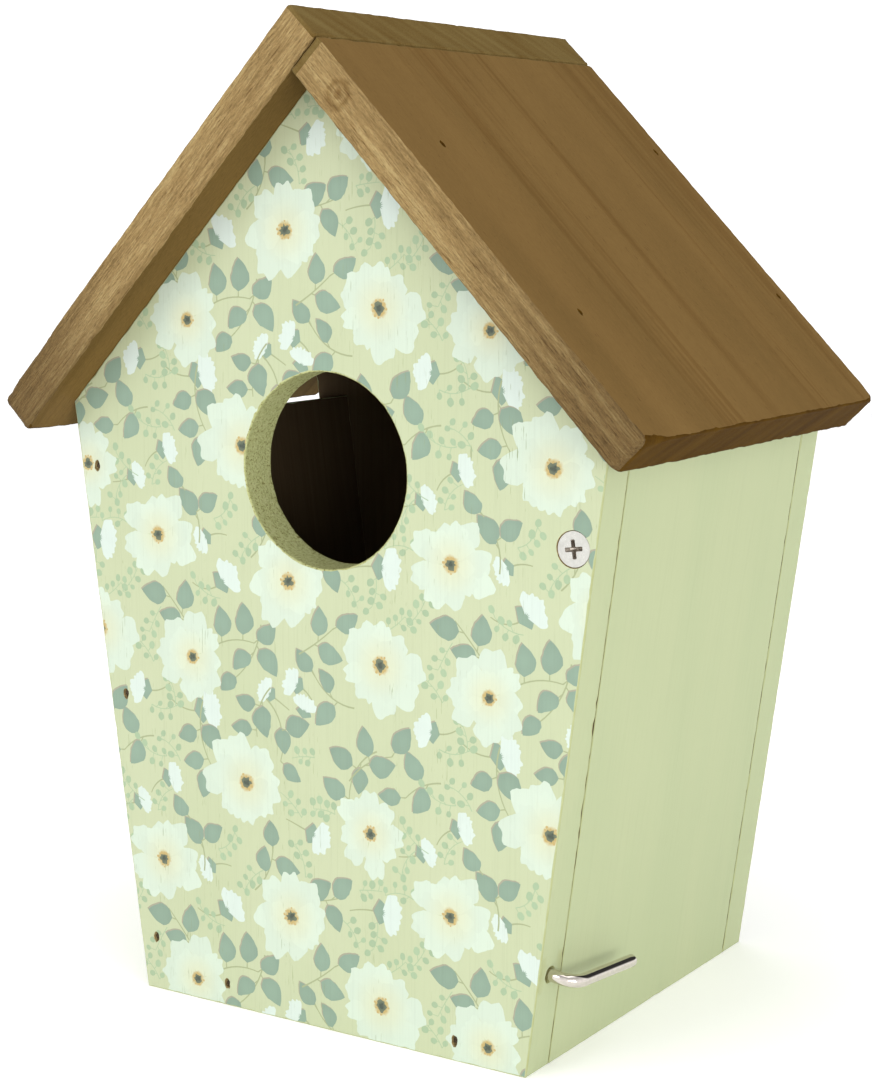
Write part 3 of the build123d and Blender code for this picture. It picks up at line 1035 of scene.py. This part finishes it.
roofLook = dict(
    corner=0.9, step=1.1, rows=8, rough=0.2, front=(0.45, 0.3), back=(0.75, 0.4),
    holeFront=(0.3, 0.3), holeBack=(0.3, 0.3), holeRough=0.1,
    faceFront=0, wall=1, faceBack=5, pit=3, holeWall=0,
)
nailPit = [(0.9, 0.4), (0.84, 0.9)]
roofWear = dict(corner=2.4, reach=12.0, depth=2.3, soak={1: 0.82, -1: 0.88}, soakFrom={1: -40.0, -1: -55.0})
nailDowns = (32.0, 82.0)
nailY = (frontY + house["board"] / 2, backY - house["board"] / 2)
roofFrontY = frontY - house["frontOverhang"]


def roofBoard(name, side, top, node, grain):
    normal = Vector((side * math.sin(pitch), 0, math.cos(pitch)))
    up = Vector((-side * math.cos(pitch), 0, math.sin(pitch)))
    origin = Vector((0, 0, apexZ)) + normal * house["board"]
    low, high = sorted((side * roofFrontY, side * backY))
    end = -house["roofLength"]
    outline = [(low, end, roofWear["corner"]), (high, end, roofWear["corner"]), (high, top), (low, top)]
    made = Board(name, origin, (0, side, 0), up, house["board"], grain)
    front = side * roofFrontY
    made.soaked = lambda b: smooth(roofWear["soakFrom"][side], end, b) * roofWear["soak"][side]
    made.knot = (front, -13.0 if side > 0 else -200.0, -4.6)
    made.wornSpots = [
        (True, (front, end), roofWear["reach"], roofWear["depth"]),
        (True, (front, end + 14), 15, 1.5),
        (False, (front, end), 9, 1.5),
        (True, (side * backY, end), 7, 1.4),
    ]
    pits = [
        dict(centre=(side * y, -down), radius=0.62, sides=12, ragged=0.5, stretch=1.7, profile=nailPit)
        for y in nailY for down in nailDowns
    ]

    def wallMaterial(i, _):
        a, b, _ = made.points[i]
        if b > top - 1.0:
            return 4
        return 3 if b < end + 2.2 and abs(a - front) > 1.2 else 1

    buildBoard(made, outline, {**roofLook, "wall": wallMaterial}, [], pits)
    return finishBoard(made, roofLooks, "box", node)


roofRight = roofBoard("roofRight", 1, 0.0, "roof_board_right", 6.0)
roofLeft = roofBoard("roofLeft", -1, ridgeLap, "roof_board_left", 7.3)
print("boards built")


# Screws, hook and hanger


class Turned:
    # rings of points round an axis, in millimetres, which become one closed mesh

    def __init__(self):
        self.points, self.faces, self.smooth, self.slots = [], [], [], {}

    def ring(self, points):
        start = len(self.points)
        self.points += [tuple(p) for p in points]
        return list(range(start, len(self.points)))

    def join(self, upper, lower, smoothHere=True):
        for i in range(len(upper)):
            k = (i + 1) % len(upper)
            self.faces.append([upper[i], lower[i], lower[k], upper[k]])
            self.smooth.append(smoothHere)

    def close(self, ring, middle):
        centre = self.ring([middle])[0]
        for i in range(len(ring)):
            self.faces.append([ring[i], centre, ring[(i + 1) % len(ring)]])
            self.smooth.append(False)


def makeObject(name, shape, material, body, nodes):
    mesh = bpy.data.meshes.new(name)
    mesh.from_pydata([Vector(p) * mm for p in shape.points], [], shape.faces)
    for one in material if isinstance(material, list) else [material]:
        mesh.materials.append(one)
    mesh.polygons.foreach_set("material_index", [shape.slots.get(i, 0) for i in range(len(shape.faces))])
    mesh.polygons.foreach_set("use_smooth", shape.smooth)
    mesh.validate()
    mesh.update()
    piece = bpy.data.objects.new(name, mesh)
    bpy.context.scene.collection.objects.link(piece)
    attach(piece, body)
    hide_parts(*nodes)
    return piece


def crossOutline(span, width, corner):
    # a cross of two arms, counter-clockwise, with eased inner corners
    far, half = span / 2, width / 2
    points = []
    for quarter in range(4):
        c, s = round(math.cos(quarter * math.pi / 2)), round(math.sin(quarter * math.pi / 2))
        arm = [(far - corner, -half), (far, -half + corner), (far, half - corner), (far - corner, half)]
        arm += [(half + corner, half), (half + corner * 0.3, half + corner * 0.3), (half, half + corner)]
        points += [(x * c - y * s, x * s + y * c) for x, y in arm]
    return points


def addScrew(shape, seat, outward, headRadius, shankRadius, length, turn):
    # a countersunk cross-head screw, its head's top at seat
    outward = Vector(outward)
    side = outward.cross((0, 0, -1)).normalized()
    other = outward.cross(side)
    seat = Vector(seat)

    def at(x, y, w):
        return seat + side * x + other * y + outward * w

    turns = [2 * math.pi * i / 64 for i in range(64)]

    def circle(radius, w):
        return shape.ring([at(radius * math.cos(t), radius * math.sin(t), w) for t in turns])

    edge = 0.03 * headRadius
    rim = 0.3
    profile = [(headRadius - edge, 0.0), (headRadius - edge * 0.3, -edge * 0.3)]
    profile += [(headRadius, -edge), (headRadius, -rim)]
    profile += [(shankRadius, -rim - headRadius + shankRadius), (shankRadius, -length + 1.5)]
    rings = [circle(r, w) for r, w in profile]
    for upper, lower in zip(rings, rings[1:]):
        shape.join(upper, lower)
    shape.close(rings[-1], at(0, 0, -length))
    outline = crossOutline(1.08 * headRadius, 0.25 * headRadius, 0.04 * headRadius)
    c, s = math.cos(turn), math.sin(turn)
    outline = [(x * c - y * s, x * s + y * c) for x, y in outline]
    levels = [(1.0, 0.0), (0.97, -0.04 * headRadius), (0.72, -0.3 * headRadius), (0.45, -0.42 * headRadius)]
    crosses = [shape.ring([at(x * k, y * k, w) for x, y in reversed(outline)]) for k, w in levels]
    start = len(shape.faces)
    for upper, lower in zip(crosses, crosses[1:]):
        shape.join(upper, lower, False)
    shape.close(crosses[-1], at(0, 0, -0.5 * headRadius))
    shape.slots.update({i: 1 for i in range(start, len(shape.faces))})
    flat = [(profile[0][0] * math.cos(t), profile[0][0] * math.sin(t)) for t in turns]
    inner = list(reversed(outline))
    loops = [anticlockwise(0, flat), anticlockwise(64, inner)]
    made = delaunay_2d_cdt([Vector(p) for p in flat + inner], [], loops, 0, 1e-7, True)
    source = rings[0] + crosses[0]
    for triangle, inside in zip(made[2], made[5]):
        if inside == [0]:
            shape.faces.append([source[made[3][k][0]] for k in triangle])
            shape.smooth.append(False)


screws = dict(
    head=4.0,
    shank=2.0,
    length=30.0,
    sink=0.2,
    turn=math.radians(8),
    hangerHead=2.8,
    hangerShank=1.5,
    hangerLength=8.8,
)
pivotEnds = [
    ("pivotScrewFront", frontY, -1, "pivot_screw_front"),
    ("pivotScrewBack", backY, 1, "pivot_screw_back"),
]
for name, y, out, node in pivotEnds:
    shape = Turned()
    seat = (pivot["x"], y - out * screws["sink"], pivot["z"])
    addScrew(shape, seat, (0, out, 0), screws["head"], screws["shank"], screws["length"], screws["turn"])
    makeObject(name, shape, [nickelHead, nickelShadedRecess], "door", [node])

shape = Turned()
hangerScrew = (screws["hangerHead"], screws["hangerShank"], screws["hangerLength"])
for x, turn in ((-hanger["spacing"] / 2, 0.5), (hanger["spacing"] / 2, 1.1)):
    addScrew(shape, (x, backY, hanger["z"]), (0, 1, 0), *hangerScrew, turn)
makeObject("hangerScrews", shape, [zincPlate, nickelShadedRecess], "box", ["hanger_screws"])

hook = dict(wire=1.5, depth=18.0, standoff=6.4, arm=28.0, bend=4.0, droop=6.0, sides=32)
wireTurns = np.linspace(0, 2 * math.pi, hook["sides"], endpoint=False)


def hookWire():
    shape = Turned()
    axis = Vector((math.cos(taper), 0, -math.sin(taper)))
    droop = math.radians(hook["droop"])
    arm = Vector((0, 1, 0)) * math.cos(droop) - sideUp * math.sin(droop)
    across = axis.cross(arm).normalized()
    entry = Vector((hookAt[0], frontY + house["board"] / 2, hookAt[1]))
    bend, radius = hook["bend"], hook["wire"]
    stations = [(entry + axis * d, axis) for d in np.linspace(-hook["depth"], hook["standoff"] - bend, 12)]
    centre = entry + axis * (hook["standoff"] - bend) + arm * bend
    for k in range(1, 13):
        angle = math.pi / 2 * k / 12
        forward = axis * math.cos(angle) + arm * math.sin(angle)
        outward = axis * math.sin(angle) - arm * math.cos(angle)
        stations.append((centre + outward * bend, forward))
    bendEnd = stations[-1][0]
    stations += [(bendEnd + arm * d, arm) for d in np.linspace(0, hook["arm"] - bend - 0.35, 14)[1:]]
    rings = []
    for k, (spot, forward) in enumerate(stations):
        side = across.cross(forward)
        wobble = 1 + 0.004 * math.sin(k * 1.7)
        rings.append([spot + (across * math.cos(t) + side * math.sin(t)) * radius * wobble for t in wireTurns])
    tip, side = stations[-1][0], across.cross(arm)
    for shrink, along in ((0.95, 0.17), (0.8, 0.3), (0.5, 0.35)):
        spot = tip + arm * along
        rings.append([spot + (across * math.cos(t) + side * math.sin(t)) * radius * shrink for t in wireTurns])
    made = [shape.ring(reversed(r)) for r in rings]
    for upper, lower in zip(made, made[1:]):
        shape.join(upper, lower)
    shape.close(made[-1], tip + arm * 0.35)
    shape.close(list(reversed(made[0])), stations[0][0])
    return makeObject("latchHook", shape, nickelWire, "latch", ["latch_hook"])


hookWire()

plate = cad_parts["hanger_plate"]
for slotHere in plate.material_slots:
    slotHere.material = zincPlate
eased = plate.modifiers.new("easedEdges", "BEVEL")
eased.width, eased.segments, eased.limit_method = 0.15 * mm, 2, "ANGLE"
eased.harden_normals = True
for name in ("front_panel_brads", "back_panel_brads", "roof_nails_left", "roof_nails_right"):
    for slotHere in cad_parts[name].material_slots:
        slotHere.material = bradSteel
print("hardware built")


# Floor, light and camera

studio = dict(
    floor="#fdfdfc",
    floorRadius=1.6,
    floorGlow=0.19,
    horizon=1.25,
    middle=1.08,
    zenith=0.6,
    flag=(0.1, 0.83, 0.45),
    flagTone=0.04,
    key=10.5,
    top=13.0,
    side=8.0,
)


def makeFloor():
    material, tree, surface = newMaterial("paleFloor", Roughness=0.9, Specular_IOR_Level=0.1)
    place = addNode(tree, "TexCoord", take="Object")
    soft = addNode(tree, "TexNoise", inputs={"Vector": place, "Scale": 3.0})
    colour = toLinear(studio["floor"])
    stops = [(0.3, [c * 0.995 for c in colour]), (0.7, colour)]
    dress(tree, surface, addNode(tree, "ValToRGB", inputs={"Fac": soft}, stops=stops))
    surface.inputs["Emission Color"].default_value = (1, 1, 1, 1)
    surface.inputs["Emission Strength"].default_value = studio["floorGlow"]
    mesh = bpy.data.meshes.new("paleFloor")
    turns = [2 * math.pi * i / 96 for i in range(96)]
    radius = studio["floorRadius"]
    mesh.from_pydata([(radius * math.cos(t), radius * math.sin(t), 0) for t in turns], [], [list(range(96))])
    mesh.materials.append(material)
    made = bpy.data.objects.new("paleFloor", mesh)
    bpy.context.scene.collection.objects.link(made)


def makeWorld():
    # bright all round at eye level and darker overhead, so that bright metal has something to show
    world = bpy.data.worlds.new("studio")
    bpy.context.scene.world = world
    world.use_nodes = True
    tree = world.node_tree
    place = addNode(tree, "TexCoord", take="Generated")
    height = addNode(tree, "SeparateXYZ", inputs={"Vector": place}, take="Z")
    stops = [(0.15, grey(studio["horizon"])), (0.45, grey(studio["middle"])), (0.8, grey(studio["zenith"]))]
    sky = addNode(tree, "ValToRGB", inputs={"Fac": height}, stops=stops)
    # a black flag high behind, which draws the dark line along bright metal
    flag = Vector(studio["flag"]).normalized()
    towards = addNode(tree, "VectorMath", {"operation": "DOT_PRODUCT"}, {0: place, 1: flag}, take="Value")
    stops = [(0.8, grey(1.0)), (0.9, grey(studio["flagTone"]))]
    shade = addNode(tree, "ValToRGB", inputs={"Fac": towards}, stops=stops)
    sky = addNode(tree, "Mix", multiply, {0: 1.0, 6: sky, 7: shade}, take=2)
    tree.links.new(sky, tree.nodes["Background"].inputs["Color"])


def softBox(name, place, target, size, power):
    light = bpy.data.lights.new(name, "AREA")
    light.shape, light.size, light.size_y, light.energy = "RECTANGLE", size[0], size[1], power
    made = bpy.data.objects.new(name, light)
    made.location = place
    made.rotation_euler = (Vector(target) - Vector(place)).to_track_quat("-Z", "Y").to_euler()
    bpy.context.scene.collection.objects.link(made)


makeFloor()
makeWorld()
softBox("keyLight", (-0.8, -1.7, 1.1), (0, 0, 0.12), (1.2, 1.0), studio["key"])
softBox("topLight", (0.2, 0.0, 2.0), (0, 0, 0.1), (1.6, 1.6), studio["top"])
softBox("sideLight", (1.1, -0.8, 0.16), (0, 0, 0.06), (0.9, 0.3), studio["side"])

camera = dict(place=(0.2962, -0.46376, 0.19368), turn=33.0, tilt=8.585, lens=91.54)
data = bpy.data.cameras.new("camera")
data.sensor_fit, data.sensor_width, data.lens = "HORIZONTAL", 36.0, camera["lens"]
data.clip_start, data.clip_end = 0.02, 50.0
made = bpy.data.objects.new("camera", data)
made.location = camera["place"]
made.rotation_euler = (math.radians(90 - camera["tilt"]), 0, math.radians(camera["turn"]))
bpy.context.scene.collection.objects.link(made)
bpy.context.scene.camera = made
bpy.context.scene.view_settings.view_transform = "Standard"
bpy.context.scene.view_settings.look = "None"
